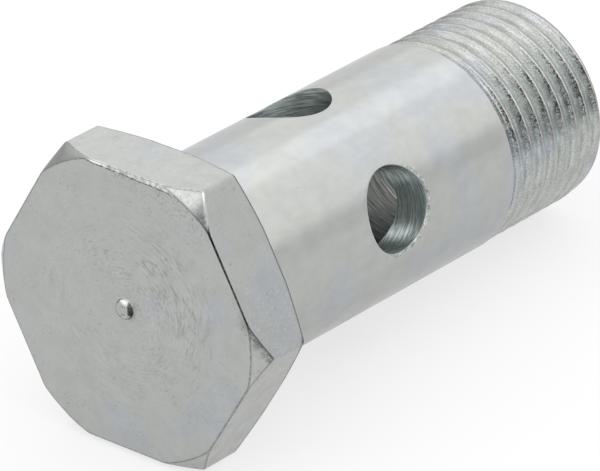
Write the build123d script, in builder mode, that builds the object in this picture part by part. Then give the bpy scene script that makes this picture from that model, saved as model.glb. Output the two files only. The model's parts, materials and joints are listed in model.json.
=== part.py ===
from build123d import *
from math import atan2, cos, degrees, radians, sin, sqrt, tan
import os

# Hollow hydraulic bolt (banjo bolt): a hexagonal head, a plain shank that carries the ring fitting,
# two drillings across it at one level, a fine thread, and a blind bore up the middle that joins them.
# It lies on one flat of its head and on its thread, as a loose bolt does, with +Z up.

# Head, millimetres and degrees. Its corners are turned down to a circle on each side,
# and both circles are a little wider than the flats are apart.
across_flats = 24.0
head_height = 5.6
crown_circle_excess = 1.1
crown_chamfer_angle = 43.0
seat_circle_excess = 0.2
seat_chamfer_angle = 22.5

# Nub that parting off left on the head, a little above the middle
nub_diameter = 1.7
nub_height = 0.4
nub_round = 0.25
nub_offset = 0.25

# Shank and thread, measured from the seat under the head. The shank has the thread's nominal size.
thread_size = 18.0
thread_pitch = 1.5
crest_allowance = 0.1
shank_length = 31.8
shank_root_cone = 0.5
bolt_length = 44.6
end_chamfer = 1.1
thread_runout = 1.6
lead_in_turns = 5 / 6

# Cross drillings, turned by some degrees from the flat on top, and the bore that runs just past them
port_diameter = 7.0
port_level = 17.4
port_turn = 17.7
port_edge_break = 0.15
bore_diameter = 11.7
bore_past_ports = 1.5
bore_chamfer = 0.35
drill_point_angle = 118.0

# Groove of the thread: at the nominal size its ridges are an eighth of the pitch wide,
# and its floor is a quarter of the pitch wide
flank_angle = 30.0
ridge_width = thread_pitch / 8
groove_floor = thread_pitch / 4
groove_mouth = thread_pitch - ridge_width
groove_depth = (groove_mouth - groove_floor) / 2 / tan(radians(flank_angle))

# Cutters run this far past what they cut
overrun = 0.4

# Radii
flat_radius = across_flats / 2
shank_radius = thread_size / 2
crest_radius = shank_radius - crest_allowance
root_radius = shank_radius - groove_depth
end_radius = crest_radius - end_chamfer
port_radius = port_diameter / 2
bore_radius = bore_diameter / 2
nub_radius = nub_diameter / 2

# Resting place: the lower edge of the seat and the last crest of the thread touch the ground
full_thread_end = bolt_length - end_chamfer
rest_tilt = atan2(flat_radius - crest_radius, full_thread_end)
along = Vector(cos(rest_tilt), 0, -sin(rest_tilt))
upward = Vector(sin(rest_tilt), 0, cos(rest_tilt))
sideways = Vector(0, 1, 0)
head_reach = head_height * cos(rest_tilt) + flat_radius * sin(rest_tilt)
end_reach = bolt_length * cos(rest_tilt) + end_radius * sin(rest_tilt)
seat_centre = Vector((head_reach - end_reach) / 2, 0, flat_radius * cos(rest_tilt))

# Planes: the seat faces the thread, and the half section has the axis as its X and the radius as its Y
seat_plane = Plane(origin=seat_centre, x_dir=upward, z_dir=along)
section_plane = Plane(origin=seat_centre, x_dir=along, z_dir=-sideways)
bolt_axis = Axis(seat_centre, along)


with BuildPart() as banjo_bolt:
    # Head: hexagon bar, turned to a cone on both sides so that only its corners are cut back
    with BuildSketch(seat_plane.offset(-head_height)):
        RegularPolygon(radius=flat_radius, side_count=6, major_radius=False, rotation=30)
    extrude(amount=head_height)
    corner_reach = across_flats / sqrt(3) + overrun
    crown_radius = flat_radius + crown_circle_excess / 2
    seat_radius = flat_radius + seat_circle_excess / 2
    crown_drop = (corner_reach - crown_radius) * tan(radians(crown_chamfer_angle))
    seat_rise = (corner_reach - seat_radius) * tan(radians(seat_chamfer_angle))
    with BuildSketch(section_plane):
        with BuildLine():
            Polyline(
                (-head_height, 0),
                (-head_height, crown_radius),
                (-head_height + crown_drop, corner_reach),
                (-seat_rise, corner_reach),
                (0, seat_radius),
                (0, 0),
                close=True,
            )
        make_face()
    revolve(axis=bolt_axis, mode=Mode.INTERSECT)

    # Nub on the outer face, with a rounded top
    nub_centre = seat_plane.offset(-head_height).from_local_coords(Vector(nub_offset, 0, 0))
    nub_plane = Plane(origin=nub_centre, x_dir=-along, z_dir=sideways)
    with BuildSketch(nub_plane):
        with BuildLine():
            Line((-overrun, 0), (-overrun, nub_radius))
            Line((-overrun, nub_radius), (nub_height - nub_round, nub_radius))
            RadiusArc(
                (nub_height - nub_round, nub_radius),
                (nub_height, nub_radius - nub_round),
                nub_round,
            )
            Line((nub_height, nub_radius - nub_round), (nub_height, 0))
            Line((nub_height, 0), (-overrun, 0))
        make_face()
    revolve(axis=Axis(nub_centre, -along))

    # Rod for the thread, from inside the head, left long until the thread is cut
    stock_length = bolt_length + 3 * thread_pitch
    with BuildSketch(seat_plane.offset(-overrun)):
        Circle(crest_radius)
    extrude(amount=stock_length)

    # Thread groove: a right-hand helix from a little way inside the shank to past the bolt's end
    groove_start = shank_length - lead_in_turns * thread_pitch
    groove_centre = seat_centre + along * groove_start
    with BuildLine():
        groove_path = Helix(
            pitch=thread_pitch,
            height=bolt_length + thread_pitch - groove_start,
            radius=root_radius,
            center=groove_centre,
            direction=along,
        )
    groove_entry = groove_path @ 0
    outward = groove_entry - groove_centre
    with BuildSketch(Plane(origin=groove_entry, x_dir=outward, z_dir=groove_path % 0)):
        with BuildLine():
            Polyline(
                (0, -groove_floor / 2),
                (groove_depth, -groove_mouth / 2),
                (groove_depth + overrun, -groove_mouth / 2),
                (groove_depth + overrun, groove_mouth / 2),
                (groove_depth, groove_mouth / 2),
                (0, groove_floor / 2),
                close=True,
            )
        make_face()
    sweep(path=groove_path, is_frenet=True, mode=Mode.SUBTRACT)

    # The rod is parted off at the bolt's length, with a chamfer that runs down below the root
    with BuildSketch(section_plane):
        with BuildLine():
            Polyline(
                (bolt_length, 0),
                (bolt_length, end_radius),
                (full_thread_end - overrun, crest_radius + overrun),
                (stock_length + overrun, crest_radius + overrun),
                (stock_length + overrun, 0),
                close=True,
            )
        make_face()
    revolve(axis=bolt_axis, mode=Mode.SUBTRACT)

    # Shank, with a small cone at its root under the head. It covers the groove's blind end,
    # and beyond it the groove's floor climbs a cone up to it, which is the thread's run-out.
    runout_slope = (thread_runout - crest_allowance) / (crest_radius - root_radius)
    cone_end = shank_length + thread_runout + overrun * runout_slope
    with BuildSketch(section_plane):
        with BuildLine():
            Polyline(
                (0, shank_radius + shank_root_cone),
                (-overrun, shank_radius + shank_root_cone),
                (-overrun, 0),
                (cone_end, 0),
                (cone_end, root_radius - overrun),
                (shank_length + crest_allowance, crest_radius),
                (shank_length, shank_radius),
                (shank_root_cone, shank_radius),
                close=True,
            )
        make_face()
    revolve(axis=bolt_axis)

    # Blind bore from the thread end, with its drill point and a broken edge at the mouth
    bore_floor = port_level - port_radius - bore_past_ports
    drill_point = bore_radius / tan(radians(drill_point_angle / 2))
    with BuildSketch(section_plane):
        with BuildLine():
            Polyline(
                (bore_floor - drill_point, 0),
                (bore_floor, bore_radius),
                (bolt_length - bore_chamfer, bore_radius),
                (bolt_length + overrun, bore_radius + bore_chamfer + overrun),
                (bolt_length + overrun, 0),
                close=True,
            )
        make_face()
    revolve(axis=bolt_axis, mode=Mode.SUBTRACT)

    # Two drillings across the shank, square to each other, so that four ports open at one level
    port_centre = seat_centre + along * port_level
    for turn in (port_turn, port_turn + 90):
        port_direction = upward * cos(radians(turn)) + sideways * sin(radians(turn))
        with BuildSketch(Plane(origin=port_centre, x_dir=along, z_dir=port_direction)):
            Circle(port_radius)
        extrude(amount=shank_radius + overrun, both=True, mode=Mode.SUBTRACT)

    # The burr is taken off the four rims where the drillings come out of the shank
    shank_wall = banjo_bolt.faces().filter_by(GeomType.CYLINDER).sort_by(SortBy.AREA)[-1]
    port_rims = shank_wall.edges().filter_by(GeomType.BSPLINE)
    chamfer(port_rims, length=port_edge_break)

banjo_bolt.part.label = "banjo_bolt"

os.makedirs("parts", exist_ok=True)
export_step(banjo_bolt.part, "parts/banjo_bolt.step")
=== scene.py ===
"""A hollow hydraulic bolt, or banjo bolt, in bright zinc-plated steel.

The bolt is modelled in its own frame: the origin lies on its axis in the plane of the seat, X points
sideways, Y points up, and Z runs along the shank towards the thread. Angles round the axis are counted from
X towards Y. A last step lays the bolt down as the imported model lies. Lengths are metres.
"""

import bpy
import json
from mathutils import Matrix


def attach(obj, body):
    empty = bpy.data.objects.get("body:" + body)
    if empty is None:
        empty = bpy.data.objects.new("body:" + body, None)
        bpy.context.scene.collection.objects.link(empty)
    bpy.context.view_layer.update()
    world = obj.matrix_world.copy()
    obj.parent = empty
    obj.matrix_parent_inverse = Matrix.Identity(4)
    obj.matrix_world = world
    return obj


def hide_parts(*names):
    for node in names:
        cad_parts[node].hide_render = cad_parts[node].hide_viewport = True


bl_info = {
    "name": "Hollow Hydraulic Bolt",
    "version": (1, 0, 0),
    "blender": (4, 5, 0),
    "location": "View3D > Sidebar > Hollow Bolt",
    "description": "A hollow hydraulic bolt with two cross drillings, and the stage that it lies on",
    "category": "Add Mesh",
}

import json
from math import acos, atan, atan2, ceil, cos, degrees, pi, radians, sin, sqrt, tan

import bmesh
import bpy
from bpy.props import FloatProperty, FloatVectorProperty, IntProperty, PointerProperty
from mathutils import Matrix, Vector, noise

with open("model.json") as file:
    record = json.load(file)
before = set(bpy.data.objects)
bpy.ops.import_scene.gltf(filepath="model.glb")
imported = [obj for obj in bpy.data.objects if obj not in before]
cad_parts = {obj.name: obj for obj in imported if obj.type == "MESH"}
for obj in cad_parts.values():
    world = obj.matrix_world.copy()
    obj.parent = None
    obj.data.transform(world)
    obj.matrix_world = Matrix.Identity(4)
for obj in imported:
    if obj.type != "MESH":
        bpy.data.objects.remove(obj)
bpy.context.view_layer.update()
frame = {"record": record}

MOUNTS = {mount["name"]: mount for mount in frame["record"]["mounts"]}
MERGE_DISTANCE = 2e-6
SLACK = 0.00001
TURN = 2 * pi

# Edges that bend more are sharp, corners that bend more are rims, and nothing this near the axis is a rim
SHARP_BEND = radians(38)
RIM_BEND = radians(22)
NUB_REACH = 0.003

# Angles round the axis, in degrees: flats of the head, the corners between them, and the run of a flat
TOP_FLAT, RIGHT_FLAT, LOWER_FLAT = 90, 150, 210
LEFT_CORNER, UPPER_CORNER, LOWER_CORNER = 60, 120, 180
ALONG_TOP, ALONG_RIGHT, ALONG_LOWER = 0, 60, 120

# The thread's flanks lean 30 degrees. Its crests are softened and worn.
FLANK_SLOPE = tan(radians(30))
CREST_ROUND = 0.00003
WEAR_DEPTH = 0.00005
WEAR_WIDTH = 0.00012
WEAR_SPOTS = 26
WEAR_LENGTH = 0.0004
WEAR_SHARE = 0.35

# The numbers of the finishes, in the order that bolt_materials lists them
FACE, BAR, SHANK, THREAD, BORE, UPPER_PORT, SIDE_PORT, CORNERS = range(8)


class BoltSizes(bpy.types.PropertyGroup):
    """The sizes of the bolt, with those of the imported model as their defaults."""

    across_flats: FloatProperty(
        name="Across flats", description="Width of the head from flat to flat", default=0.024, unit="LENGTH")
    head_height: FloatProperty(
        name="Head height", description="Height of the head", default=0.0056, unit="LENGTH")
    crown_circle: FloatProperty(
        name="Crown circle", description="Circle of the turned outer face", default=0.0251, unit="LENGTH")
    crown_angle: FloatProperty(
        name="Crown angle", description="Slope of the outer chamfer", default=radians(43), subtype="ANGLE")
    seat_circle: FloatProperty(
        name="Seat circle", description="Circle of the turned underside", default=0.0242, unit="LENGTH")
    seat_angle: FloatProperty(
        name="Seat angle", description="Slope of the seat's chamfer", default=radians(22.5), subtype="ANGLE")
    rim_round: FloatProperty(
        name="Rim rounding", description="Rounding of the head's rims", default=0.00009, unit="LENGTH")
    corner_round: FloatProperty(
        name="Corner rounding", description="Rounding of the six corners", default=0.0003, unit="LENGTH")
    nub_diameter: FloatProperty(
        name="Nub diameter", description="Diameter of the nub on the face", default=0.0017, unit="LENGTH")
    nub_height: FloatProperty(
        name="Nub height", description="Height of the nub", default=0.0004, unit="LENGTH")
    nub_round: FloatProperty(
        name="Nub rounding", description="Rounding of the nub's tip", default=0.00034, unit="LENGTH")
    nub_foot: FloatProperty(
        name="Nub foot", description="Fillet at the foot of the nub", default=0.00012, unit="LENGTH")
    nub_offset: FloatProperty(
        name="Nub offset", description="Height of the nub above the middle", default=0.00025, unit="LENGTH")
    shank_diameter: FloatProperty(
        name="Shank diameter", description="Diameter of the plain shank", default=0.018, unit="LENGTH")
    shank_length: FloatProperty(
        name="Shank length", description="From the seat to the thread's start", default=0.0318, unit="LENGTH")
    root_round: FloatProperty(
        name="Root fillet", description="Fillet under the head", default=0.0005, unit="LENGTH")
    bolt_length: FloatProperty(
        name="Bolt length", description="From the seat to the thread's end", default=0.0446, unit="LENGTH")
    pitch: FloatProperty(
        name="Thread pitch", description="Lead of the thread", default=0.0015, unit="LENGTH")
    crest_allowance: FloatProperty(
        name="Crest allowance", description="Depth of crests under the shank", default=0.0001, unit="LENGTH")
    runout: FloatProperty(
        name="Thread run-out", description="Length in which the groove fades", default=0.0016, unit="LENGTH")
    lead_in: FloatProperty(
        name="Lead-in", description="Turns that the groove starts before the shank ends", default=5 / 6)
    end_chamfer: FloatProperty(
        name="End chamfer", description="Chamfer on the end of the thread", default=0.0011, unit="LENGTH")
    port_diameter: FloatProperty(
        name="Port diameter", description="Diameter of the cross drillings", default=0.007, unit="LENGTH")
    port_level: FloatProperty(
        name="Port level", description="From the seat to the ports' middle", default=0.0174, unit="LENGTH")
    port_turn: FloatProperty(
        name="Port turn", description="Turn from the top flat", default=radians(17.7), subtype="ANGLE")
    port_round: FloatProperty(
        name="Port rounding", description="Rounding of the rims of the ports", default=0.0001, unit="LENGTH")
    bore_diameter: FloatProperty(
        name="Bore diameter", description="Diameter of the blind bore", default=0.0117, unit="LENGTH")
    bore_past_ports: FloatProperty(
        name="Bore past ports", description="Length of bore past the ports", default=0.0015, unit="LENGTH")
    bore_chamfer: FloatProperty(
        name="Bore chamfer", description="Broken edge at the bore's mouth", default=0.00035, unit="LENGTH")
    drill_point: FloatProperty(
        name="Drill point", description="Angle of the drill's point", default=radians(118), subtype="ANGLE")
    columns: IntProperty(
        name="Columns", description="Faces round the shank and the thread", default=240, min=48, max=320)


class BoltFinish(bpy.types.PropertyGroup):
    """The colours and marks of the plating."""

    zinc: FloatVectorProperty(
        name="Zinc", description="Colour of the plating", default=(0.437, 0.446, 0.428), subtype="COLOR")
    zinc_cool: FloatVectorProperty(
        name="Cool zinc", description="Bluish tint", default=(0.425, 0.442, 0.455), subtype="COLOR")
    drilled: FloatVectorProperty(
        name="Drilled", description="Colour of the drill's marks",
        default=(0.34, 0.4, 0.385), subtype="COLOR")
    drilled_light: FloatVectorProperty(
        name="Drilled, light", description="Colour between the drill's marks",
        default=(0.67, 0.735, 0.725), subtype="COLOR")
    roughness: FloatProperty(
        name="Roughness", description="Roughness of the plating", default=0.24, min=0, max=1)


class StageSettings(bpy.types.PropertyGroup):
    """The camera and the floor."""

    lens: FloatProperty(
        name="Lens", description="Focal length on a 36 mm wide sensor", default=0.39203, unit="LENGTH")
    floor_size: FloatProperty(
        name="Floor size", description="Side of the floor", default=6.0, unit="LENGTH")
    floor_color: FloatVectorProperty(
        name="Floor", description="Colour of the floor", default=(0.8, 0.8, 0.8), subtype="COLOR")


def bolt_matrix(sizes):
    """The place of the bolt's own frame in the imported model."""
    along = Vector(MOUNTS["ring_shank"]["axis"]).normalized()
    sideways = Vector((0, 1, 0))
    upward = along.cross(sideways)
    seat_centre = Vector(MOUNTS["ring_shank"]["pos_m"]) - along * sizes.port_level
    turned = Matrix((sideways, upward, along)).transposed()
    return Matrix.Translation(seat_centre) @ turned.to_4x4()


def quarter(steps):
    """The angles of a quarter turn that is cut into equal steps."""
    return [pi / 2 * step / steps for step in range(steps + 1)]


def even_turns(count):
    """The turns of columns that stand evenly round an axis."""
    return [TURN * number / count for number in range(count)]


def start_loop(bm, count, radius, level, rise=0.0, capped=False):
    """Starts a turned shape with a numbered ring of corners at a level. Returns its loop of edges."""
    column = bm.verts.layers.int["column"]
    place = Matrix.Translation((0, rise, level))
    ring = bmesh.ops.create_circle(
        bm, cap_ends=capped, cap_tris=capped, segments=count, radius=radius, matrix=place)["verts"]
    for corner in ring:
        corner[column] = round(atan2(corner.co.y - rise, corner.co.x) / TURN * count) % count
    edges = [edge for corner in ring for edge in corner.link_edges if edge.is_boundary or edge.is_wire]
    return list(dict.fromkeys(edges))


def add_ring(bm, loop, place):
    """Extrudes a loop of edges and puts each new corner where place(column) says. Returns the new loop."""
    column = bm.verts.layers.int["column"]
    made = bmesh.ops.extrude_edge_only(bm, edges=loop)["geom"]
    for corner in made:
        if isinstance(corner, bmesh.types.BMVert):
            corner.co = place(corner[column])
    return [edge for edge in made if isinstance(edge, bmesh.types.BMEdge) and edge.is_boundary]


def add_turned(bm, loop, turns, profile, rise=0.0):
    """Extrudes a loop along a turned profile of (radius, level) points. Returns the last loop."""
    for radius, level in profile:

        def place(number):
            return Vector((radius * cos(turns[number]), rise + radius * sin(turns[number]), level))

        loop = add_ring(bm, loop, place)
    return loop


def hexagon_radius(sizes, turn):
    """The outline of the head, with a small rounding at its corners."""
    flat = sizes.across_flats / 2
    from_corner = abs((turn + pi / 6) % (pi / 3) - pi / 6)
    centre = (flat - sizes.corner_round) / cos(pi / 6)
    tangent = atan(sizes.corner_round * sin(pi / 6) / (centre + sizes.corner_round * cos(pi / 6)))
    if from_corner >= tangent:
        return flat / cos(pi / 6 - from_corner)
    return centre * cos(from_corner) + sqrt(sizes.corner_round**2 - (centre * sin(from_corner)) ** 2)


def head_turns(sizes):
    """Where the head's columns stand: close at the corners, and one where each chamfer ends on a flat."""
    flat = sizes.across_flats / 2
    half = [0, 2.5, 5, 9.7, 12.2, 14.6, 19, 21, 23, 25, 27, 28.4, 29.2, 29.58, 29.8]
    for circle in (sizes.crown_circle, sizes.seat_circle):
        half.append(degrees(atan(sqrt((circle / 2) ** 2 - flat**2) / flat)))
    half.sort()
    side = [-angle for angle in reversed(half[1:])] + half + [30]
    return [radians(30 + 60 * k + angle) for k in range(6) for angle in side]


def rim_rings(outline, circle, slope, rounding):
    """One rim of the head in a column, from its face to its side, as (radius, drop from the face)."""
    margin = 0.0003
    corner = outline - rounding
    inner = corner
    side_drop = (corner - circle) * tan(slope) + rounding / cos(slope)
    if side_drop > rounding:
        inner = circle - rounding * (1 / cos(slope) - 1) / tan(slope)
    else:
        side_drop = rounding
    rings = [(inner - margin, 0.0)]
    for lean in (0, slope / 2, slope):
        rings.append((inner + rounding * sin(lean), rounding - rounding * cos(lean)))
    for lean in (slope, (slope + pi / 2) / 2, pi / 2):
        rings.append((corner + rounding * sin(lean), side_drop - rounding * cos(lean)))
    rings.append((outline, side_drop + margin * 2 / 3))
    return rings


def build_head(bm, sizes):
    """The head, from the tip of its nub over the face and the flats to the seat."""
    turns = head_turns(sizes)
    nub = sizes.nub_diameter / 2
    face = -sizes.head_height
    tip = face - sizes.nub_height
    profile = []
    for lean in quarter(3):
        profile.append((nub - sizes.nub_round * (1 - sin(lean)), tip + sizes.nub_round * (1 - cos(lean))))
    for lean in quarter(2):
        profile.append((nub + sizes.nub_foot * (1 - cos(lean)), face - sizes.nub_foot * (1 - sin(lean))))
    for share in (0.04, 0.25, 0.5, 0.75):
        profile.append((nub + share * (sizes.crown_circle / 2 - nub), face))
    loop = start_loop(bm, len(turns), sizes.nub_round, tip, sizes.nub_offset, capped=True)
    loop = add_turned(bm, loop, turns, profile, sizes.nub_offset)

    def rim_of(circle, slope, face, side):
        """The rings of a rim, whose face is at a level and whose side runs up or down from it."""
        rims = [rim_rings(hexagon_radius(sizes, turn), circle / 2, slope, sizes.rim_round) for turn in turns]
        return [
            [
                Vector((radius * cos(turn), radius * sin(turn), face + side * drop))
                for turn, (radius, drop) in zip(turns, ring)
            ]
            for ring in zip(*rims)
        ]

    rings = rim_of(sizes.crown_circle, sizes.crown_angle, face, 1)
    rings += reversed(rim_of(sizes.seat_circle, sizes.seat_angle, 0.0, -1))
    for ring in rings:
        loop = add_ring(bm, loop, ring.__getitem__)


def groove_level(sizes, turn):
    """Where the middle of the thread's groove lies at a turn about the axis, give or take whole pitches."""
    start = sizes.shank_length - sizes.lead_in * sizes.pitch
    return start + sizes.pitch * (turn - pi / 2) / TURN


def soft_min(a, b, softness):
    """The smaller of two lengths, with the corner between them rounded."""
    gap = max(softness - abs(a - b), 0.0) / softness
    return min(a, b) - gap * gap * softness / 4


def crest_edge_place(sizes):
    """How far the edge of a crest lies from the middle of the groove beside it."""
    return sizes.pitch * 7 / 16 - sizes.crest_allowance * FLANK_SLOPE


def thread_radius(sizes, turn, level):
    """The thread's floor, flanks and worn crest, with the run-out at its start and the chamfer at its end."""
    shank = sizes.shank_diameter / 2
    crest = shank - sizes.crest_allowance
    root = shank - sizes.pitch * 5 / 16 / FLANK_SLOPE
    off = abs((level - groove_level(sizes, turn) + sizes.pitch / 2) % sizes.pitch - sizes.pitch / 2)
    radius = root + max(0.0, off - sizes.pitch / 8) / FLANK_SLOPE
    radius = soft_min(radius, crest, CREST_ROUND)
    around = Vector((cos(turn), sin(turn), 0)) * WEAR_SPOTS + Vector((0, 0, level / WEAR_LENGTH))
    wear = max(0.0, 1 - abs(off - crest_edge_place(sizes)) / WEAR_WIDTH)
    radius -= WEAR_DEPTH * wear * max(0.0, noise.noise(around) + WEAR_SHARE)
    past = level - sizes.shank_length
    slope = (crest - root) / (sizes.runout - sizes.crest_allowance)
    if past < sizes.crest_allowance:
        fade = shank - max(0.0, past)
    else:
        fade = crest - (past - sizes.crest_allowance) * slope
    chamfer = crest - sizes.end_chamfer + sizes.bolt_length - level
    return min(max(radius, fade), chamfer)


def pitch_steps(sizes):
    """Where the thread's rows lie in a pitch, from the groove's middle on: close together at its edges."""
    edge = crest_edge_place(sizes) / sizes.pitch
    half = [0.06, 0.105, 0.125, 0.145, 0.19, 0.24, 0.29, 0.34]
    half += [edge - 0.02, edge - 0.007, edge + 0.004, edge + 0.02, 0.45]
    return [0.0] + half + [0.5] + [1 - step for step in reversed(half)]


def build_thread(bm, sizes, first, last):
    """The thread between two levels: a grid wrapped round the axis, whose rows climb with the groove."""
    steps = pitch_steps(sizes)
    rows = (ceil((last - first) / sizes.pitch) + 2) * len(steps)
    grid = bmesh.ops.create_grid(bm, x_segments=sizes.columns, y_segments=rows, size=1)["verts"]
    lowest = first - sizes.pitch - (first - groove_level(sizes, 0.0)) % sizes.pitch
    for corner in grid:
        turn = (corner.co.x + 1) / 2 * TURN
        whole, step = divmod(round((corner.co.y + 1) / 2 * rows), len(steps))
        level = lowest + sizes.pitch * (whole + steps[step] + turn / TURN)
        level = min(max(level, first), last)
        radius = thread_radius(sizes, turn, level)
        corner.co = Vector((radius * cos(turn), radius * sin(turn), level))


def shank_profile(sizes, start):
    """The plain shank from a level down to its fillet at the seat, with close rings round the ports."""
    shank = sizes.shank_diameter / 2
    near_ports = sizes.port_diameter / 2 + 0.001
    stops = (start, sizes.port_level + near_ports, sizes.port_level - near_ports, sizes.root_round * 2)
    profile = []
    for high, low, steps in zip(stops, stops[1:], (4, 12, 4)):
        profile += [(shank, high + (low - high) * step / steps) for step in range(1, steps + 1)]
    for lean in quarter(4):
        profile.append((shank + sizes.root_round * (1 - cos(lean)), sizes.root_round * (1 - sin(lean))))
    return profile


def bore_profile(sizes, end_radius):
    """The end face and the blind bore, down to the tip that the drill left."""
    margin = 0.00012
    end = sizes.bolt_length
    bore = sizes.bore_diameter / 2
    mouth = bore + sizes.bore_chamfer
    floor = sizes.port_level - sizes.port_diameter / 2 - sizes.bore_past_ports
    point = bore / tan(sizes.drill_point / 2)
    wall = end - sizes.bore_chamfer - floor
    profile = [(end_radius - margin, end), (mouth + margin, end), (mouth, end), (bore, floor + wall)]
    profile += [(bore, floor + wall * (1 - step / 16)) for step in range(1, 17)]
    profile += [(bore * share, floor - point * (1 - share)) for share in (0.9, 0.5, 0.1, 0.0)]
    return profile


def build_body(bm, sizes):
    """The shank, the thread, the end face and the blind bore."""
    turns = even_turns(sizes.columns)
    shank = sizes.shank_diameter / 2
    end_radius = shank - sizes.crest_allowance - sizes.end_chamfer
    thread_start = sizes.shank_length - 0.0003
    loop = start_loop(bm, sizes.columns, shank, thread_start)
    add_turned(bm, loop, turns, shank_profile(sizes, thread_start))
    loop = start_loop(bm, sizes.columns, end_radius, sizes.bolt_length)
    add_turned(bm, loop, turns, bore_profile(sizes, end_radius))
    build_thread(bm, sizes, thread_start, sizes.bolt_length)


def new_bmesh():
    """An empty mesh whose corners carry the number of their column."""
    bm = bmesh.new()
    bm.verts.layers.int.new("column")
    return bm


def build_drill(sizes, turn):
    """A cutter for a cross drilling. It widens at the shank's surface, so that the rims are rounded."""
    bm = new_bmesh()
    turns = even_turns(128)
    shank = sizes.shank_diameter / 2
    port = sizes.port_diameter / 2
    outer = port + sizes.port_round
    far = shank + 0.001

    def on_shank(radius, depth, side):
        """A ring that follows the shank's surface at a depth under it."""

        def place(number):
            across = radius * sin(turns[number])
            level = side * (sqrt(shank**2 - across**2) - depth)
            return Vector((radius * cos(turns[number]), across, level))

        return place

    loop = start_loop(bm, len(turns), outer, -far, capped=True)
    rim = []
    for lean in reversed(quarter(4)):
        rim.append((port + sizes.port_round * (1 - cos(lean)), sizes.port_round * (1 - sin(lean))))
    for radius, depth in rim:
        loop = add_ring(bm, loop, on_shank(radius, depth, -1))
    for radius, depth in reversed(rim):
        loop = add_ring(bm, loop, on_shank(radius, depth, 1))
    loop = add_turned(bm, loop, turns, [(outer, far)])
    bmesh.ops.edgeloop_fill(bm, edges=loop)
    bmesh.ops.recalc_face_normals(bm, faces=bm.faces)
    out = Vector((sin(turn), cos(turn), 0))
    lengthwise = Vector((0, 0, 1))
    placed = Matrix((lengthwise, out.cross(lengthwise), out)).transposed().to_4x4()
    placed.translation = lengthwise * sizes.port_level
    bmesh.ops.transform(bm, matrix=placed, verts=bm.verts)
    return bm


def new_object(name, bm):
    """Makes an object in the scene from a bmesh, and frees the bmesh."""
    mesh = bpy.data.meshes.new(name)
    bm.to_mesh(mesh)
    bm.free()
    made = bpy.data.objects.new(name, mesh)
    bpy.context.scene.collection.objects.link(made)
    return made


def drill_ports(bolt, sizes):
    """Cuts both cross drillings, and keeps the result as the bolt's own mesh."""
    drills = []
    for turn in (sizes.port_turn, sizes.port_turn + pi / 2):
        drill = new_object("drill", build_drill(sizes, turn))
        cut = bolt.modifiers.new("drilling", "BOOLEAN")
        cut.operation = "DIFFERENCE"
        cut.solver = "EXACT"
        cut.object = drill
        drills.append(drill)
    depsgraph = bpy.context.evaluated_depsgraph_get()
    drilled = bpy.data.meshes.new_from_object(bolt.evaluated_get(depsgraph))
    bolt.modifiers.clear()
    plain = bolt.data
    bolt.data = drilled
    bpy.data.meshes.remove(plain)
    for drill in drills:
        bpy.data.objects.remove(drill)


def rim_sharpness(corner):
    """How far a corner of the mesh lies on a rim, from 0 to 1, by the bend of the faces across it."""
    sharpest = 0.0
    if corner.co.to_2d().length > NUB_REACH:
        for edge in corner.link_edges:
            start, end = edge.verts
            if abs((start.co - end.co).normalized().z) < 0.9:
                sharpest = max(sharpest, edge.calc_face_angle_signed(0))
    return min(sharpest / RIM_BEND, 1.0)


def finish_mesh(bolt, sizes):
    """Merges doubles, turns every face outwards, marks the sharp edges and lays the bolt down."""
    bm = bmesh.new()
    bm.from_mesh(bolt.data)
    bmesh.ops.remove_doubles(bm, verts=bm.verts, dist=MERGE_DISTANCE)
    bmesh.ops.dissolve_degenerate(bm, edges=bm.edges, dist=MERGE_DISTANCE)
    bmesh.ops.recalc_face_normals(bm, faces=bm.faces)
    if any(not edge.is_manifold for edge in bm.edges):
        raise RuntimeError("the bolt's mesh is open")
    rim = bm.verts.layers.float.new("rim")
    for face in bm.faces:
        face.smooth = True
        face.material_index = surface_of(face, sizes)
    for edge in bm.edges:
        edge.smooth = edge.calc_face_angle(0) < SHARP_BEND
    for corner in bm.verts:
        corner[rim] = rim_sharpness(corner)
    bmesh.ops.transform(bm, matrix=bolt_matrix(sizes), verts=bm.verts)
    bm.to_mesh(bolt.data)
    bm.free()
    bolt.data.update()


def build_bolt(sizes):
    """The whole bolt, one closed mesh."""
    bm = new_bmesh()
    build_body(bm, sizes)
    bmesh.ops.remove_doubles(bm, verts=bm.verts, dist=MERGE_DISTANCE)
    head = new_bmesh()
    build_head(head, sizes)
    part = bpy.data.meshes.new("head")
    head.to_mesh(part)
    head.free()
    bm.from_mesh(part)
    bpy.data.meshes.remove(part)
    bmesh.ops.remove_doubles(bm, verts=bm.verts, dist=MERGE_DISTANCE)
    seat = [edge for edge in bm.edges if edge.is_boundary]
    bmesh.ops.triangle_fill(bm, use_beauty=True, use_dissolve=False, edges=seat, normal=(0, 0, 1))
    bmesh.ops.recalc_face_normals(bm, faces=bm.faces)
    bolt = new_object("turned_bolt", bm)
    drill_ports(bolt, sizes)
    finish_mesh(bolt, sizes)
    return bolt


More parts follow.
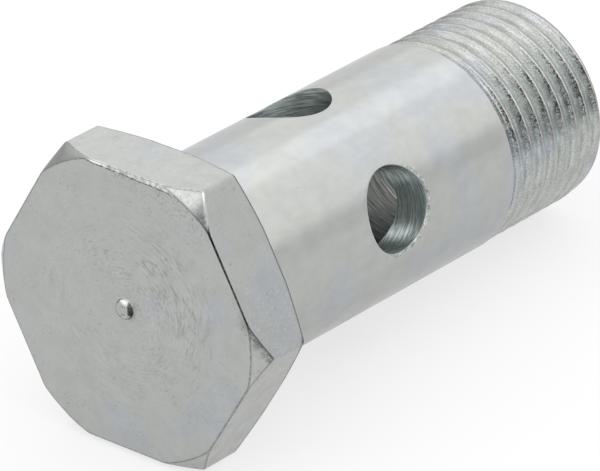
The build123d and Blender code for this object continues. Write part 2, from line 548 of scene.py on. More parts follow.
class Nodes:
    """Adds nodes to one tree, and gives back the sockets that they put out."""

    def __init__(self, tree):
        self.tree = tree
        tree.nodes.clear()

    def feed(self, socket, value):
        """Links a socket to another one, or sets it to a plain value."""
        if isinstance(value, bpy.types.NodeSocket):
            self.tree.links.new(value, socket)
        else:
            socket.default_value = value

    def add(self, kind, inputs=None, **settings):
        made = self.tree.nodes.new(kind)
        for name, value in settings.items():
            setattr(made, name, value)
        for name, value in (inputs or {}).items():
            self.feed(made.inputs[name], value)
        return made

    def math(self, operation, *values):
        return self.add("ShaderNodeMath", dict(enumerate(values)), operation=operation).outputs[0]

    def vector_math(self, operation, *values):
        return self.add("ShaderNodeVectorMath", dict(enumerate(values)), operation=operation).outputs

    def split(self, vector):
        return self.add("ShaderNodeSeparateXYZ", {0: vector}).outputs

    def join(self, x, y, z):
        return self.add("ShaderNodeCombineXYZ", {0: x, 1: y, 2: z}).outputs[0]

    def stretch(self, vector, scale):
        return self.vector_math("MULTIPLY", vector, scale)["Vector"]

    def across(self, point, direction):
        """How far a point lies along a direction."""
        return self.vector_math("DOT_PRODUCT", point, direction)["Value"]

    def length(self, vector):
        return self.vector_math("LENGTH", vector)["Value"]

    def noise(self, vector, scale, detail=2.0, roughness=0.5):
        inputs = {"Vector": vector, "Scale": scale, "Detail": detail, "Roughness": roughness}
        return self.add("ShaderNodeTexNoise", inputs).outputs["Fac"]

    def span(self, value, low, high, out_low=0.0, out_high=1.0):
        """Maps a value from one range to another, with soft ends."""
        inputs = {"Value": value, "From Min": low, "From Max": high, "To Min": out_low, "To Max": out_high}
        return self.add("ShaderNodeMapRange", inputs, interpolation_type="SMOOTHSTEP").outputs[0]

    def toward(self, point, angle, low, high, out_low=0.0, out_high=1.0):
        """Spans how far a point lies towards an angle round the axis."""
        return self.span(self.across(point, turned_to(angle)), low, high, out_low, out_high)

    def near(self, value, middle, reach):
        """1 where a value is at the middle, fading to 0 at a reach from it."""
        away = self.math("ABSOLUTE", self.math("SUBTRACT", value, middle))
        return self.span(away, 0.0, reach, 1.0, 0.0)

    def product(self, *factors):
        result = factors[0]
        for factor in factors[1:]:
            result = self.math("MULTIPLY", result, factor)
        return result

    def blend(self, factor, first, second, kind="MIX"):
        made = self.add("ShaderNodeMix", data_type="RGBA", blend_type=kind)
        for name, value in (("Factor_Float", factor), ("A_Color", first), ("B_Color", second)):
            self.feed(next(item for item in made.inputs if item.identifier == name), value)
        return next(item for item in made.outputs if item.identifier == "Result_Color")

    def shade(self, color, value):
        """Multiplies a colour by a value."""
        return self.blend(1.0, color, self.join(value, value, value), "MULTIPLY")

    def mark(self, color, *marks):
        """Darkens a colour by marks. Each has an amount, below 0 to brighten, and factors for where it is."""
        for amount, *factors in marks:
            color = self.shade(color, self.math("MULTIPLY_ADD", self.product(*factors), -amount, 1.0))
        return color


def turned_to(angle):
    """The direction at an angle round the axis, in degrees."""
    return (cos(radians(angle)), sin(radians(angle)), 0.0)


def bolt_place(nodes, sizes):
    """The shaded point in the bolt's own frame."""
    matrix = bolt_matrix(sizes)
    point = nodes.add("ShaderNodeTexCoord").outputs["Object"]
    inputs = {"Vector": point, "Location": matrix.translation, "Rotation": matrix.to_euler()}
    return nodes.add("ShaderNodeMapping", inputs, vector_type="TEXTURE").outputs[0]


def tinted(nodes, place, finish, lean=0.0):
    """The plating's colour, which drifts between a neutral and a bluish tint."""
    cloud = nodes.math("ADD", nodes.noise(place, 130.0, 2.0), lean)
    color = nodes.blend(nodes.span(cloud, 0.43, 0.62), (*finish.zinc, 1), (*finish.zinc_cool, 1))
    mottle = nodes.noise(place, 620.0, 4.0, 0.6)
    return nodes.shade(color, nodes.span(mottle, 0.3, 0.7, 0.965, 1.035))


def roughened(nodes, pattern, finish, low, high):
    """The plating's roughness, which follows a pattern between two steps from the plain roughness."""
    return nodes.span(pattern, 0.3, 0.7, finish.roughness + low, finish.roughness + high)


def rim_shade_and_highlights(nodes, place, color, sizes):
    """The narrow rims of the head in painted shade: uneven, darker at the right flat, frayed between painted
    shade and painted highlight along the top flat, with a painted highlight at a burr on one corner and a
    painted highlight streak on the top flat.
    """
    rim = nodes.add("ShaderNodeAttribute", attribute_name="rim").outputs["Fac"]
    flat = sizes.across_flats / 2
    face = -sizes.head_height
    front = nodes.span(nodes.split(place)["Z"], face + 0.0016, face + 0.0019, 1.0, 0.0)
    right = nodes.toward(place, RIGHT_FLAT, flat - 0.0003, flat - 0.0001)
    top = nodes.product(
        nodes.toward(place, TOP_FLAT, flat - 0.0004, flat - 0.00015), front,
        nodes.toward(place, ALONG_TOP, 0.0045, 0.0038))
    frayed = nodes.span(nodes.noise(place, 2600.0, 3.0, 0.7), 0.42, 0.56, 0.6, -0.4)
    streak_highlight = nodes.product(top, nodes.near(nodes.across(place, turned_to(ALONG_TOP)), 0.0027, 0.0012))
    burr_highlight = nodes.product(
        right, nodes.toward(place, ALONG_RIGHT, 0.0042, 0.0048), front, nodes.span(rim, 0.6, 0.95, 0.3, 1.0))
    # The rims' painted shade: uneven, darker at the right flat and towards the face.
    painted_tone = nodes.span(nodes.noise(place, 4400.0, 2.0, 0.7), 0.4, 0.6, 0.85, 0.3)
    painted_tone = nodes.math("MINIMUM", nodes.math("MULTIPLY_ADD", right, 0.5, painted_tone), 0.97)
    painted_tone = nodes.product(painted_tone, nodes.math("MULTIPLY_ADD", front, 0.3, 0.7))
    # Frayed painted shade and painted highlight along the top flat, a painted highlight at the burr, and a
    # painted highlight streak.
    for where, other in ((top, frayed), (burr_highlight, -1.1), (streak_highlight, -0.9)):
        painted_tone = nodes.math("MULTIPLY_ADD", where, nodes.math("SUBTRACT", other, painted_tone), painted_tone)
    # The colour is darkened by the painted shade wherever the mesh bends at a rim.
    return nodes.mark(color, (1.0, painted_tone, nodes.span(rim, 0.3, 0.7)))


def turned_arcs(nodes, place, radius, direction):
    """Broken arcs that the turning tool left round the nub, and how strongly they show there: most towards
    one side, in patches, and in a ring.
    """
    rings = nodes.join(0.0, 0.0, nodes.math("DIVIDE", radius, 0.00016))
    around = nodes.vector_math("ADD", nodes.stretch(direction, (6.4, 6.4, 0.0)), rings)["Vector"]
    patch = nodes.span(nodes.noise(place, 270.0), 0.36, 0.58)
    arc_strength = nodes.product(
        nodes.toward(direction, 140, -0.3, 0.8, 0.42, 1.0), nodes.span(patch, 0.0, 1.0, 0.25, 1.0),
        nodes.near(radius, 0.0052, 0.0066))
    return nodes.noise(around, 1.0, 3.0, 0.7), arc_strength


def face_edge_marks(nodes, place, speck, sizes):
    """The face's edge: painted shade along the right flat, a dark smudge at a tip, and painted highlights
    with a painted dark line along the top flat, drawn as a broken facet.
    """
    x, y, _ = nodes.split(place)
    edge = sizes.across_flats / 2
    sinking = nodes.toward(place, ALONG_RIGHT, -0.003, 0.003, edge - 0.00006, edge - 0.00016)
    beside = nodes.math("SUBTRACT", nodes.across(place, turned_to(RIGHT_FLAT)), sinking)
    crown = sizes.crown_circle / 2
    tip = radians(RIGHT_FLAT) + acos(edge / crown)
    sideways = nodes.math("SUBTRACT", x, crown * cos(tip))
    upward = nodes.math("SUBTRACT", y, crown * sin(tip))
    away = nodes.length(nodes.join(sideways, upward, 0.0))
    height = nodes.across(place, (-0.035, 1.0, 0.0))
    height = nodes.math("MULTIPLY_ADD", nodes.noise(place, 1500.0, 3.0, 0.6), 0.0003, height)
    facet = edge - 0.00018
    broken = nodes.noise(place, 2300.0, 2.0, 0.7)
    return (
        # Painted shade along the right flat's edge, then a dark smudge at a tip.
        (0.85, nodes.span(beside, -0.00001, 0.00003)),
        (0.6, nodes.span(away, 0.0013, 0.0002), nodes.span(speck, 0.0, 0.6, 0.4, 1.0)),
        # Painted highlights and a painted dark line along the top flat, drawn as a broken facet.
        (-0.55, nodes.span(height, facet, facet + 0.00006), nodes.span(broken, 0.62, 0.45)),
        (0.75, nodes.near(height, facet, 0.0001), nodes.span(broken, 0.36, 0.5)),
        (-0.6, nodes.span(height, facet, facet + 0.00008), nodes.near(x, 0.0028, 0.0012)),
    )


def nub_marks(nodes, place, flat, radius, speck, nub, side):
    """The nub: a painted highlight above, painted shade on its right side, crumbly below, painted light on
    its foot, and a painted shadow on the face beside it.
    """
    crumbs = nodes.noise(place, 7000.0, 1.0, 0.6)
    under = nodes.product(nub, nodes.toward(flat, 262, 0.0, 0.0004))
    foot = nodes.product(nodes.near(radius, 0.0009, 0.00011), nodes.toward(flat, 200, 0.0003, 0.0))
    specks = nodes.span(speck, 0.0, 0.5)
    return (
        # Painted shade on the nub's right side, then crumbs below it.
        (0.88, side, nodes.toward(flat, 172, 0.0004, 0.00066), nodes.toward(flat, 270, 0.0005, 0.0002)),
        (0.45, under, nodes.span(crumbs, 0.5, 0.6)),
        (-0.25, under, nodes.span(crumbs, 0.45, 0.36)),
        # A painted highlight above, dark specks below, a little painted shade on one side and painted light
        # below.
        (-0.7, side, nodes.toward(flat, 112, 0.0003, 0.0005)),
        (0.7, side, nodes.toward(flat, 280, 0.0001, 0.0004), speck),
        (0.12, side, nodes.toward(flat, 20, 0.0003, 0.0006)),
        (-0.15, side, nodes.toward(flat, 250, 0.0003, 0.0006)),
        (0.4, nub, specks),
        # Painted light on the foot, with specks, and a painted shadow on the face beside the nub.
        (-0.35, foot),
        (0.55, foot, specks),
        (0.3, nodes.span(radius, 0.0013, 0.0008), nodes.toward(flat, 200, 0.0005, 0.0009)),
    )


def face_finish(nodes, place, finish, sizes):
    """The turned face: broken arcs round the nub, fine specks, a few scratches, grit near the top, and
    painted light and shade at the nub and along the edges.
    """
    x, y, _ = nodes.split(place)
    flat = nodes.join(x, nodes.math("SUBTRACT", y, sizes.nub_offset), 0.0)
    radius = nodes.length(flat)
    direction = nodes.vector_math("NORMALIZE", flat)["Vector"]
    arcs, arc_strength = turned_arcs(nodes, place, radius, direction)
    speck = nodes.span(nodes.noise(place, 4400.0, 2.0, 0.7), 0.58, 0.7)
    pits = nodes.product(speck, nodes.span(nodes.noise(place, 380.0), 0.4, 0.62, 0.25, 1.0))
    steep = nodes.math("MULTIPLY", nodes.across(place, turned_to(114)), 9.0)
    slant = nodes.join(nodes.across(place, turned_to(24)), steep, 0.0)
    nub_radius = sizes.nub_diameter / 2
    nub = nodes.span(radius, nub_radius + 0.00005, nub_radius - SLACK)
    nub_side = nodes.product(nub, nodes.span(radius, 0.00046, 0.0006))
    lean = nodes.math("MULTIPLY", nodes.across(place, turned_to(245)), 9.0)
    lean = nodes.math("MULTIPLY_ADD", nodes.span(radius, 0.0098, 0.0065), -0.2, lean)
    grit = nodes.span(nodes.noise(place, 3600.0, 2.0, 0.75), 0.54, 0.64)
    color = nodes.mark(
        tinted(nodes, place, finish, lean),
        (0.25, nodes.span(arcs, 0.52, 0.6), arc_strength),
        (-0.08, nodes.span(arcs, 0.46, 0.38), arc_strength),
        (0.22, pits),
        (0.2, nodes.span(nodes.noise(slant, 700.0, 1.0), 0.7, 0.76)),
        (0.3, nodes.span(radius, 0.0096, 0.0116), nodes.toward(direction, 108, 0.84, 0.97), grit),
        *face_edge_marks(nodes, place, speck, sizes),
        *nub_marks(nodes, place, flat, radius, speck, nub, nub_side),
    )
    height = nodes.math("SUBTRACT", nodes.product(arcs, arc_strength), nodes.product(pits, 0.5))
    rough = roughened(nodes, nodes.noise(place, 900.0, 3.0), finish, 0.04, 0.14)
    rough = nodes.math("MULTIPLY_ADD", nub_side, -0.15, rough)
    return rim_shade_and_highlights(nodes, place, color, sizes), rough, height, 0.000014


def far_edge_shade(nodes, place, grain, sizes):
    """A broken line of painted shade on a flat, just above the rim at the seat, and wider near the lower
    corner.
    """
    x, y, z = nodes.split(place)
    past_circle = nodes.math("SUBTRACT", nodes.length(nodes.join(x, y, 0.0)), sizes.seat_circle / 2)
    drop = nodes.math("MULTIPLY_ADD", past_circle, tan(sizes.seat_angle), sizes.rim_round)
    level = nodes.math("ADD", z, nodes.math("MAXIMUM", drop, sizes.rim_round))
    reach = nodes.toward(place, ALONG_LOWER, 0.0057, 0.0062, 0.00018, 0.00034)
    return nodes.product(nodes.near(level, -0.00005, reach), nodes.span(grain, 0.38, 0.58, 1.0, 0.55))


def bar_finish(nodes, place, finish, sizes):
    """The flats of the hexagon bar: grain, faint smudges, and frosty specks in patches, with painted light
    and shade on some flats, a painted shade line by the seat, and painted shade over one corner's highlight.
    """
    flat = sizes.across_flats / 2
    grain = nodes.noise(place, 3800.0, 3.0, 0.7)
    smudge = nodes.noise(place, 900.0, 3.0, 0.6)
    right = nodes.toward(place, RIGHT_FLAT, flat - 0.0005, flat - 0.0001)
    lower_right = nodes.toward(place, LOWER_FLAT, flat - 0.0005, flat - 0.0001)
    cool = nodes.product(nodes.toward(place, ALONG_RIGHT, 0.001, -0.004, 0.0, 0.3), right)
    patch = nodes.span(nodes.math("ADD", nodes.noise(place, 190.0, 1.0), cool), 0.55, 0.68)
    frost = nodes.product(
        nodes.span(nodes.noise(place, 3300.0, 2.0, 0.8), 0.56, 0.68), patch,
        nodes.math("MULTIPLY_ADD", right, 0.75, 0.25))
    color = tinted(nodes, place, finish, nodes.math("MULTIPLY_ADD", cool, 0.55, -0.03))
    color = nodes.shade(color, nodes.span(grain, 0.3, 0.75, 1.03, 0.96))
    color = nodes.shade(color, nodes.span(smudge, 0.35, 0.75, 1.01, 0.97))
    color = nodes.mark(
        color,
        (0.22, nodes.span(nodes.noise(place, 2100.0, 2.0, 0.7), 0.66, 0.74)),
        (-0.16, frost),
        # Painted shade on the right flat and painted light on the lower right flat.
        (0.08, right),
        (-0.07, lower_right),
        # Painted shade along the seat's rim, and painted shade over the highlight on the upper corner.
        (0.9, lower_right, far_edge_shade(nodes, place, grain, sizes)),
        (0.14, nodes.toward(place, UPPER_CORNER, 0.01376, 0.01378)),
        (0.16, cool),
    )
    height = nodes.math("ADD", nodes.product(grain, 0.35), nodes.product(frost, 0.5))
    return rim_shade_and_highlights(nodes, place, color, sizes), roughened(nodes, smudge, finish, 0.0, 0.1), height, 0.000006


def chamfer_finish(nodes, place, finish, sizes):
    """The turned corners: rough and speckled, with painted light and shade on each, painted shade along their
    rims and at the upper one's tip, a dark smudge on the lower one, and a painted highlight at a burr.
    """
    flat = sizes.across_flats / 2
    face = -sizes.head_height
    grain = nodes.noise(place, 3400.0, 3.0, 0.75)
    corners = (LEFT_CORNER, UPPER_CORNER, LOWER_CORNER)
    left, upper, lower = [nodes.toward(place, corner, 0.0115, 0.012) for corner in corners]
    tip = nodes.toward(place, UPPER_CORNER + 90, -0.0002, 0.0017)
    widest = 0.0
    for angle in (30, 90, 150):
        widest = nodes.math("MAXIMUM", widest, nodes.math("ABSOLUTE", nodes.across(place, turned_to(angle))))
    outline = nodes.span(nodes.split(place)["Z"], face + 0.00011, face + 0.00004)
    outline = nodes.math("MAXIMUM", nodes.span(widest, flat - 0.00013, flat - 0.00004), outline)
    beside = nodes.toward(place, RIGHT_FLAT, flat - 0.0007, flat - 0.0001)
    smear = nodes.math("MAXIMUM", nodes.toward(place, TOP_FLAT, 0.0013, 0.0028), nodes.product(beside, 0.8))
    from_middle = nodes.math("ABSOLUTE", nodes.across(place, turned_to(ALONG_RIGHT)))
    strip = nodes.toward(place, RIGHT_FLAT, flat - 0.00016, flat - 0.0001)
    burr_highlight = nodes.toward(place, RIGHT_FLAT, flat - 0.00013, flat - 0.00006)
    color = nodes.mark(
        tinted(nodes, place, finish),
        # Painted shade on the left corner, grain, and painted light on the upper corner.
        (0.12, left),
        (0.12, nodes.span(grain, 0.48, 0.68)),
        (-0.1, nodes.span(grain, 0.42, 0.32)),
        (-0.08, upper),
        # Painted shade towards the upper corner's tip, speckled.
        (0.22, upper, nodes.span(tip, 0.0, 0.7)),
        (0.66, upper, tip, nodes.span(grain, 0.35, 0.6, 0.55, 1.0)),
        # Painted shade along the rims, a dark smudge on the lower corner, and a painted shade line along the
        # right flat.
        (0.4, outline, nodes.math("MULTIPLY_ADD", left, -0.6, 1.0), nodes.span(grain, 0.4, 0.6, 1.0, 0.4)),
        (0.78, lower, smear, nodes.span(grain, 0.38, 0.6, 0.4, 1.0)),
        (0.93, strip, nodes.span(from_middle, 0.0039, 0.0036), nodes.span(grain, 0.38, 0.6, 1.0, 0.75)),
        # A painted shadow at the upper corner's lower tip, and a painted highlight along its edge at the
        # burr.
        (0.7, upper, nodes.toward(place, ALONG_RIGHT, 0.0046, 0.0039)),
        (-1.3, upper, burr_highlight, nodes.toward(place, ALONG_RIGHT, 0.0039, 0.0044)),
    )
    return color, roughened(nodes, grain, finish, 0.0, 0.14), grain, 0.000014


def port_axis(sizes, number):
    """The direction of a cross drilling, and the direction across both it and the bolt's axis."""
    turn = sizes.port_turn + number * pi / 2
    return (sin(turn), cos(turn), 0.0), (cos(turn), -sin(turn), 0.0)


def shank_finish(nodes, place, finish, sizes):
    """The smooth shank: soft patches, fine drawn lines, and a burred ring round the port at the side."""
    drawn = nodes.noise(nodes.stretch(place, (1.0, 1.0, 0.25)), 1600.0, 3.0, 0.6)
    soft = nodes.noise(place, 260.0, 2.0)
    torn = nodes.noise(place, 3000.0, 2.0, 0.7)
    level = nodes.math("SUBTRACT", nodes.split(place)["Z"], sizes.port_level)
    down = nodes.across(place, port_axis(sizes, 1)[1])
    away = nodes.length(nodes.join(down, level, 0.0))
    burred = nodes.span(nodes.math("MULTIPLY_ADD", down, 0.6, level), -0.001, 0.004, 0.05, 1.0)
    ring = nodes.product(nodes.near(away, sizes.port_diameter / 2 + 0.00012, 0.0005), burred)
    color = nodes.shade(tinted(nodes, place, finish), nodes.span(drawn, 0.3, 0.7, 0.985, 1.015))
    color = nodes.mark(
        color,
        (0.12, nodes.span(nodes.noise(place, 1500.0, 2.0, 0.7), 0.68, 0.76), nodes.span(soft, 0.45, 0.6)),
        (-0.5, ring, nodes.span(torn, 0.48, 0.4)),
        (0.55, ring, nodes.span(torn, 0.52, 0.6)),
    )
    rough = nodes.span(soft, 0.35, 0.65, finish.roughness - 0.05, finish.roughness + 0.01)
    return color, rough, nodes.math("ADD", drawn, nodes.product(soft, 6.0)), 0.0000015


def below_crest(nodes, place, sizes):
    """How far a point lies past the edge of the nearest crest, along the bolt. On the crest it is below 0."""
    x, y, z = nodes.split(place)
    turn = nodes.math("DIVIDE", nodes.math("ARCTAN2", y, x), TURN)
    climb = nodes.math("DIVIDE", nodes.math("SUBTRACT", z, groove_level(sizes, 0.0)), sizes.pitch)
    climb = nodes.math("FRACT", nodes.math("SUBTRACT", climb, turn))
    off = nodes.math("SUBTRACT", 0.5, nodes.math("ABSOLUTE", nodes.math("SUBTRACT", climb, 0.5)))
    return nodes.math("SUBTRACT", crest_edge_place(sizes), nodes.product(off, sizes.pitch))


def thread_finish(nodes, place, finish, sizes):
    """The cut thread: a painted highlight along each crest's edge over torn flanks, with painted light and
    shade by the side each part faces, darkest in painted shade on one side.
    """
    below = below_crest(nodes, place, sizes)
    torn = nodes.noise(nodes.stretch(place, (1.0, 1.0, 1.4)), 5200.0, 2.0, 0.75)
    drawn = nodes.noise(nodes.stretch(place, (0.25, 0.25, 3.0)), 2600.0, 2.0, 0.65)
    fine = nodes.noise(place, 7600.0, 2.0, 0.75)
    radius = nodes.length(nodes.stretch(place, (1.0, 1.0, 0.0)))

    def facing(angle, low, high, out_low=0.0, out_high=1.0):
        """1 on the side of the thread that faces an angle round the axis, fading out on both sides of it."""
        cosine = nodes.math("DIVIDE", nodes.across(place, turned_to(angle)), radius)
        return nodes.span(cosine, low, high, out_low, out_high)

    # The side where the painted shade and painted highlights are strongest.
    painted_contrast_side = facing(142, 0.81, 0.98, 0.2, 1.0)
    coarse = nodes.span(nodes.noise(place, 1300.0, 2.0, 0.6), 0.4, 0.56, 0.25, 1.0)
    wide = facing(172, 0.86, 1.0, 0.00026, 0.00042)
    fading = nodes.span(below, wide, nodes.product(wide, 0.4))
    upper = nodes.product(nodes.span(below, 0.00002, 0.00005), fading)
    dashes = nodes.noise(nodes.stretch(place, (1.0, 1.0, 2.0)), 900.0, 1.0)
    dashes = nodes.span(dashes, 0.4, 0.55, 0.4, 1.0)
    # The sides that get painted shade in dashes and a painted dim band.
    painted_shade_side = facing(146, 0.885, 0.99)
    painted_dim_side = facing(165, 0.972, 0.998)
    deep = nodes.span(below, 0.0, 0.0002)
    deepened = nodes.span(deep, 0.0, 1.0, 0.4, 1.0)
    foot = nodes.span(below, 0.00012, 0.00026)
    crest = nodes.span(below, 0.0, -0.00003)
    painted_edge_shadow = nodes.near(below, 0.00008, 0.00006)
    color = tinted(nodes, place, finish, -0.06)
    # The deep flanks on one side are cooled: a painted reflection tint.
    cooler = nodes.blend(1.0, color, (0.96, 1.0, 1.015, 1), "MULTIPLY")
    color = nodes.blend(nodes.product(deep, facing(158, 0.74, 0.96)), color, cooler)
    color = nodes.shade(color, nodes.span(fine, 0.3, 0.7, 1.13, 0.86))
    color = nodes.shade(color, nodes.span(drawn, 0.3, 0.7, 1.07, 0.92))
    color = nodes.mark(
        color,
        # Painted light: the deep flanks are lightened, most at their feet and by the side they face.
        (-0.14, deep),
        (-0.04, deep, facing(116, 0.9, 0.99)),
        (-0.34, foot, facing(118, 0.925, 0.99)),
        (-0.15, foot, facing(150, 0.95, 0.99)),
        (-0.18, foot, facing(164, 0.965, 0.99)),
        (-0.22, foot, facing(182, 0.965, 0.99)),
        # Painted shade on the crests, by the side they face.
        (0.27, crest, facing(100, 0.61, 0.91)),
        (0.1, crest, facing(138, 0.89, 0.98)),
        (0.26, crest, facing(154, 0.95, 0.99)),
        # Painted light on the lower side.
        (-0.12, facing(240, 0.76, 0.96)),
        # Torn specks, strongest on the side with the painted contrast.
        (0.16, nodes.span(torn, 0.5, 0.6), painted_contrast_side, deepened),
        # Painted shade in dashes on the upper flanks of one side, and a painted dim band beside it.
        (0.82, painted_shade_side, upper, dashes, nodes.span(torn, 0.42, 0.52, 0.1, 1.0)),
        (0.2, painted_dim_side, nodes.span(below, 0.00014, 0.0)),
        (0.1, painted_dim_side, upper),
        # A painted shadow line beside each crest's edge, and a painted highlight along the edge itself.
        (0.3, painted_edge_shadow, nodes.span(torn, 0.42, 0.52), nodes.math("MAXIMUM", painted_contrast_side, 0.25)),
        (-0.5, nodes.near(below, 0.000005, 0.00006), coarse, painted_contrast_side),
    )
    return color, roughened(nodes, torn, finish, -0.04, 0.08), nodes.product(torn, deepened), 0.000014


def bore_finish(nodes, place, finish, sizes):
    """The drilled bore: rings from the drill, over a rough wall, in plating darkened by painted shade."""
    rings = nodes.noise(nodes.stretch(place, (260.0, 260.0, 3000.0)), 1.0, 3.0, 0.7)
    # The plating is darkened to 0.77: painted shade for the deep bore.
    color = nodes.shade(tinted(nodes, place, finish), 0.77)
    color = nodes.mark(color, (0.5, nodes.span(rings, 0.5, 0.62)), (-0.5, nodes.span(rings, 0.44, 0.34)))
    return color, nodes.span(rings, 0.3, 0.7, 0.3, 0.42), rings, 0.00006


def port_finish(number, painted_tone):
    """The finish of a cross drilling's wall, with rings round that drilling's own axis, its brightness set by
    a painted tone of light or shade, and painted shade on its rounded rim.
    """

    def finish_port(nodes, place, finish, sizes):
        out, across = port_axis(sizes, number)
        rim = sizes.port_diameter / 2
        level = nodes.split(place)["Z"]
        beside = nodes.across(place, across)
        wall = nodes.join(beside, level, nodes.math("MULTIPLY", nodes.across(place, out), 15.0))
        marks = nodes.noise(wall, 430.0, 3.0, 0.65)
        color = nodes.blend(nodes.span(marks, 0.44, 0.58), (*finish.drilled_light, 1), (*finish.drilled, 1))
        cloud = nodes.noise(place, 500.0, 3.0)
        # The wall's brightness is scaled by the painted tone: painted light or painted shade for each
        # drilling.
        color = nodes.shade(color, nodes.span(cloud, 0.3, 0.7, 0.75 * painted_tone, 1.05 * painted_tone))
        away = nodes.length(nodes.join(beside, nodes.math("SUBTRACT", level, sizes.port_level), 0.0))
        # Painted shade on the rounded rim.
        color = nodes.mark(color, (0.6, nodes.span(away, rim + 0.000005, rim + 0.00003)))
        return color, nodes.span(marks, 0.3, 0.7, 0.32, 0.46), marks, 0.00003

    return finish_port


def zinc_material(name, pattern, finish, sizes):
    """One finish of the plating: its colour, its roughness and its fine relief all come from one pattern."""
    material = bpy.data.materials.new(name)
    material.use_nodes = True
    nodes = Nodes(material.node_tree)
    color, rough, height, depth = pattern(nodes, bolt_place(nodes, sizes), finish, sizes)
    relief = nodes.add("ShaderNodeBump", {"Height": height, "Distance": depth, "Strength": 1.0}).outputs[0]
    inputs = {
        "Base Color": color,
        "Metallic": 1.0,
        "Specular Tint": (0.88, 0.88, 0.88, 1),
        "Roughness": rough,
        "Normal": relief,
    }
    shader = nodes.add("ShaderNodeBsdfPrincipled", inputs).outputs["BSDF"]
    nodes.add("ShaderNodeOutputMaterial", {"Surface": shader})
    return material


def bolt_materials(finish, sizes):
    """The finishes of the bolt, in the order of their numbers."""
    patterns = (
        ("zinc turned face", face_finish),
        ("zinc hexagon bar", bar_finish),
        ("zinc shank", shank_finish),
        ("zinc thread", thread_finish),
        ("zinc bore", bore_finish),
        # The upper port's wall gets painted shade and the side port's painted light.
        ("zinc upper port", port_finish(0, 0.75)),
        ("zinc side port", port_finish(1, 1.2)),
        ("zinc turned corners", chamfer_finish),
    )
    return [zinc_material(name, pattern, finish, sizes) for name, pattern in patterns]


def surface_of(face, sizes):
    """The number of the finish on a face, found from where the face lies in the bolt's own frame."""
    middle = face.calc_center_median()
    normal = face.normal
    radius = middle.to_2d().length
    bore = sizes.bore_diameter / 2
    crown = -sizes.head_height
    for number, port in enumerate((UPPER_PORT, SIDE_PORT)):
        out = Vector(port_axis(sizes, number)[0])
        from_axis = middle - Vector((0, 0, sizes.port_level))
        from_axis -= out * from_axis.dot(out)
        reach = from_axis.length - sizes.port_diameter / 2
        inward = from_axis.normalized().dot(normal) < -0.5
        if -0.0001 < reach < sizes.port_round and inward and radius > bore - 0.0001:
            return port
    if middle.z < crown + SLACK:
        return FACE
    if middle.z < crown + 0.0016 and normal.z < -0.5:
        return CORNERS
    if middle.z < SLACK:
        return BAR
    if radius < bore + SLACK:
        return BORE
    if middle.z < sizes.shank_length + 0.00005 or middle.z > sizes.bolt_length - SLACK:
        return SHANK
    return THREAD


class HOLLOWBOLT_OT_make_bolt(bpy.types.Operator):
    """Model the hollow bolt with its head, shank, thread, bore and ports"""

    bl_idname = "hollow_bolt.make_bolt"
    bl_label = "Make Bolt"
    bl_options = {"REGISTER", "UNDO"}

    def execute(self, context):
        sizes = context.scene.bolt_sizes
        bolt = build_bolt(sizes)
        for material in bolt_materials(context.scene.bolt_finish, sizes):
            bolt.data.materials.append(material)
        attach(bolt, "root")
        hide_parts("banjo_bolt")
        return {"FINISHED"}


def make_camera(settings):
    """The camera, in front of the head, above it and to one side."""
    camera = bpy.data.objects.new("camera", bpy.data.cameras.new("camera"))
    bpy.context.scene.collection.objects.link(camera)
    place = Vector((-0.346394, -0.292943, 0.266107))
    right = Vector((0.63131, -0.77444, -0.04110))
    up = Vector((0.40664, 0.28543, 0.86786))
    turned = Matrix((right, up, right.cross(up))).transposed()
    camera.matrix_world = Matrix.Translation(place) @ turned.to_4x4()
    camera.data.sensor_fit = "HORIZONTAL"
    camera.data.sensor_width = 36
    camera.data.lens = settings.lens * 1000
    camera.data.clip_start = 0.01
    camera.data.clip_end = 50
    bpy.context.scene.camera = camera


def soft_light(name, direction, distance, size, power):
    """An area light that points at the bolt from a direction."""
    data = bpy.data.lights.new(name, "AREA")
    data.shape = "RECTANGLE"
    data.size, data.size_y = size
    data.energy = power
    light = bpy.data.objects.new(name, data)
    direction = Vector(direction).normalized()
    light.location = direction * distance + Vector((0, 0, 0.012))
    light.rotation_euler = direction.to_track_quat("Z", "Y").to_euler()
    bpy.context.scene.collection.objects.link(light)


def make_floor(settings):
    """A pale floor, shown near white to the camera and in reflections, with a faint shadow."""
    bm = bmesh.new()
    bmesh.ops.create_grid(bm, x_segments=1, y_segments=1, size=settings.floor_size / 2)
    floor = new_object("floor", bm)
    material = bpy.data.materials.new("pale floor")
    material.use_nodes = True
    nodes = Nodes(material.node_tree)
    paths = nodes.add("ShaderNodeLightPath").outputs
    seen = nodes.math("MAXIMUM", paths["Is Camera Ray"], paths["Is Glossy Ray"])
    seen = nodes.math("MAXIMUM", seen, paths["Is Transmission Ray"])
    plain = nodes.add("ShaderNodeBsdfDiffuse", {"Color": (*settings.floor_color, 1)}).outputs[0]
    faint = nodes.add("ShaderNodeBsdfDiffuse", {"Color": (0.24, 0.24, 0.24, 1)}).outputs[0]
    white = nodes.add("ShaderNodeEmission", {"Color": (1, 1, 1, 1), "Strength": 0.7}).outputs[0]
    shown = nodes.add("ShaderNodeAddShader", {0: faint, 1: white}).outputs[0]
    mixed = nodes.add("ShaderNodeMixShader", {0: seen, 1: plain, 2: shown}).outputs[0]
    nodes.add("ShaderNodeOutputMaterial", {"Surface": mixed})
    floor.data.materials.append(material)


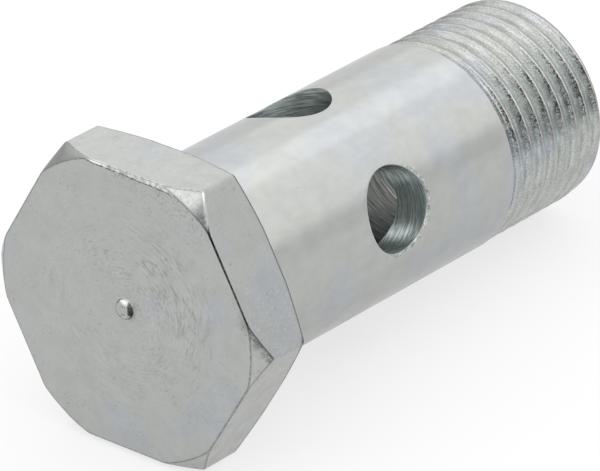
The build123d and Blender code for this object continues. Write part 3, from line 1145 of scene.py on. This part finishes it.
def make_world():
    """A soft studio, dimmer near the horizon, with a dark screen before the head and a dim wall at left."""
    world = bpy.data.worlds.new("studio")
    world.use_nodes = True
    nodes = Nodes(world.node_tree)
    direction = nodes.add("ShaderNodeTexCoord").outputs["Generated"]
    x, y, height = nodes.split(direction)
    ramp = nodes.add("ShaderNodeValToRGB", {"Fac": height})
    ramp.color_ramp.interpolation = "EASE"
    stops = ((0.0, 0.92), (0.2, 0.92), (0.31, 1.33), (0.5, 1.38), (0.66, 1.46), (1.0, 1.3))
    while len(ramp.color_ramp.elements) < len(stops):
        ramp.color_ramp.elements.new(1.0)
    for element, (place, value) in zip(ramp.color_ramp.elements, stops):
        element.position = place
        element.color = (value, value, value, 1)
    level = nodes.vector_math("NORMALIZE", nodes.join(x, y, 0.0))["Vector"]
    screen = nodes.span(nodes.across(direction, (-0.961, -0.275, 0.035)), cos(radians(25)), cos(radians(10)))
    wall = nodes.toward(level, 112, cos(radians(38)), cos(radians(18)))
    wall = nodes.product(wall, nodes.span(height, 0.55, 0.3))
    light = nodes.product(
        ramp.outputs["Color"], nodes.math("MULTIPLY_ADD", screen, -0.5, 1.0),
        nodes.math("MULTIPLY_ADD", wall, -0.4, 1.0))
    inputs = {"Color": nodes.join(light, light, light), "Strength": 1.0}
    sky = nodes.add("ShaderNodeBackground", inputs).outputs[0]
    nodes.add("ShaderNodeOutputWorld", {"Surface": sky})
    bpy.context.scene.world = world


class HOLLOWBOLT_OT_make_stage(bpy.types.Operator):
    """Set up the pale floor, the soft studio lights and the camera"""

    bl_idname = "hollow_bolt.make_stage"
    bl_label = "Make Stage"
    bl_options = {"REGISTER", "UNDO"}

    def execute(self, context):
        settings = context.scene.bolt_stage
        make_camera(settings)
        make_floor(settings)
        make_world()
        soft_light("rim light", (0.7, 0.72, 0.16), 0.8, (0.9, 0.3), 0.14)
        soft_light("top light", (0.73, 0.14, 0.66), 0.9, (0.3, 0.3), 0.08)
        soft_light("front light", (-0.6, 0.09, 0.79), 0.9, (0.3, 0.3), 0.16)
        context.scene.view_settings.view_transform = "Standard"
        return {"FINISHED"}


class HOLLOWBOLT_PT_panel(bpy.types.Panel):
    """Lists the steps that make the bolt and its stage"""

    bl_label = "Hollow Bolt"
    bl_idname = "HOLLOWBOLT_PT_panel"
    bl_space_type = "VIEW_3D"
    bl_region_type = "UI"
    bl_category = "Hollow Bolt"

    def draw(self, context):
        layout = self.layout
        layout.operator(HOLLOWBOLT_OT_make_bolt.bl_idname)
        layout.operator(HOLLOWBOLT_OT_make_stage.bl_idname)


CLASSES = (
    BoltSizes,
    BoltFinish,
    StageSettings,
    HOLLOWBOLT_OT_make_bolt,
    HOLLOWBOLT_OT_make_stage,
    HOLLOWBOLT_PT_panel,
)


def register():
    for cls in CLASSES:
        bpy.utils.register_class(cls)
    bpy.types.Scene.bolt_sizes = PointerProperty(type=BoltSizes)
    bpy.types.Scene.bolt_finish = PointerProperty(type=BoltFinish)
    bpy.types.Scene.bolt_stage = PointerProperty(type=StageSettings)


def unregister():
    del bpy.types.Scene.bolt_stage
    del bpy.types.Scene.bolt_finish
    del bpy.types.Scene.bolt_sizes
    for cls in reversed(CLASSES):
        bpy.utils.unregister_class(cls)


def main():
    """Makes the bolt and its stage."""
    register()
    bpy.ops.hollow_bolt.make_bolt()
    bpy.ops.hollow_bolt.make_stage()


if __name__ == "__main__":
    main()
